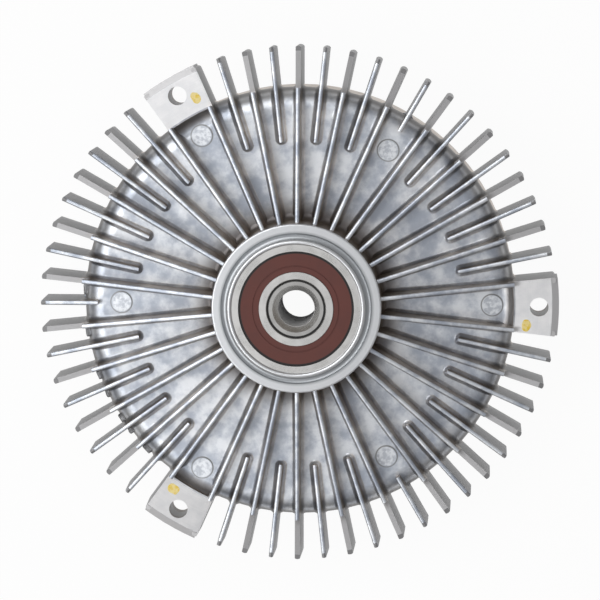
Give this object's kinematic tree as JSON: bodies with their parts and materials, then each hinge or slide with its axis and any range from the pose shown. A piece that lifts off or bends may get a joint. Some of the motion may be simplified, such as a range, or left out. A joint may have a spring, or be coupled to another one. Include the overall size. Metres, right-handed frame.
{
  "type": "viscous fan clutch",
  "caption": "Viscous fan clutch: a finned round aluminium casting with bolt lugs that turns on a sealed ball bearing about a hollow drive shaft, with a bimetal strip and control pin.",
  "frame": {"origin": "on the clutch axis, in the plane of the front fin edges that the clutch rests on", "axes": "+Z along the clutch axis towards the bearing side, +X through one bolt lug"},
  "size_m": [0.1833, 0.1826, 0.0489],
  "materials": {
    "cast_aluminium": "as-cast, with machined lug and hub faces",
    "turned_aluminium": "turned",
    "bearing_steel": "ground",
    "shaft_steel": "turned",
    "plate_steel": "rolled",
    "spring_steel": "rolled and hardened",
    "bimetal": "rolled",
    "brown_rubber": "moulded, satin",
    "black_rubber": "moulded, satin",
    "cage_plastic": "moulded"
  },
  "bodies": {
    "housing": {"rear_housing": "cast_aluminium", "front_cover": "cast_aluminium", "cover_seal_ring": "black_rubber", "bearing_outer_ring": "bearing_steel", "bearing_rear_seal": "brown_rubber", "bearing_front_seal": "brown_rubber", "separator_plate": "plate_steel", "plate_rivets": "plate_steel", "valve_lever": "spring_steel", "lever_rivet": "plate_steel", "control_pin_seal": "black_rubber", "bimetal_strip": "bimetal", "shaft_seal_case": "plate_steel", "shaft_seal_lip": "black_rubber", "shaft_seal_spring": "spring_steel"},
    "shaft": {"drive_shaft": "shaft_steel", "rotor": "turned_aluminium", "bearing_inner_ring": "bearing_steel"},
    "ball_cage": {"bearing_cage": "cage_plastic", "bearing_balls": "bearing_steel"},
    "valve_pin": {"control_pin": "shaft_steel"}
  },
  "joints": [
    {"name": "shaft_spin", "type": "hinge", "parent": "housing", "child": "shaft", "pos_m": [0, 0, 0.041], "axis": [0, 0, 1], "continuous": true},
    {"name": "cage_spin", "type": "hinge", "parent": "housing", "child": "ball_cage", "pos_m": [0, 0, 0.041], "axis": [0, 0, 1], "continuous": true},
    {"name": "control_pin_slide", "type": "slide", "parent": "housing", "child": "valve_pin", "axis": [0, 0, -1], "range_m": [0, 0.0012], "stiffness_N_per_m": 400, "deforming": ["bimetal_strip", "valve_lever"]}
  ],
  "couplings": [
    {"joint": "cage_spin", "follows": "shaft_spin", "ratio": 0.38152}
  ]
}
